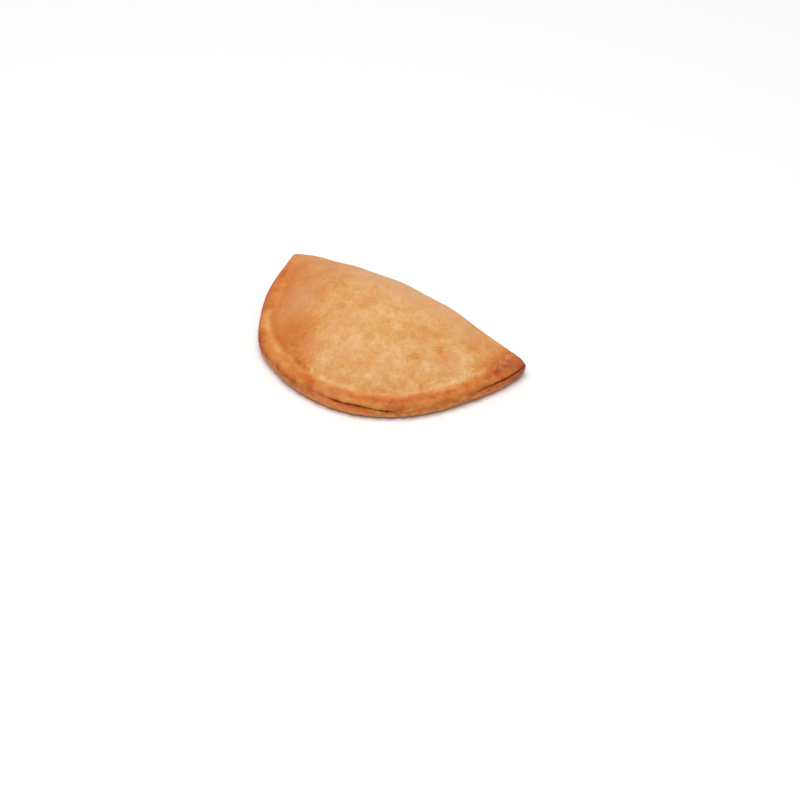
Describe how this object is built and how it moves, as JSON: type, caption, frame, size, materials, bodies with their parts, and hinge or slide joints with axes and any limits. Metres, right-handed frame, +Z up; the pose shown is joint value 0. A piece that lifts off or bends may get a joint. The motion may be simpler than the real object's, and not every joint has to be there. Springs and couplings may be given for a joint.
{
  "type": "empanada",
  "caption": "Baked half-moon hand pie of golden pastry, folded over a savoury filling and sealed along its curved rim.",
  "frame": {"origin": "in the plane of the flat underside, at the middle of the part's box", "axes": "+X along the fold from the left tip to the right tip, +Y towards the fold and away from the sealed rim, +Z up"},
  "size_m": [0.1318, 0.0772, 0.0258],
  "materials": {
    "crust": "baked pastry, pale golden on the crown and browner round the rim"
  },
  "bodies": {
    "root": {"crust": "crust"}
  },
  "joints": []
}
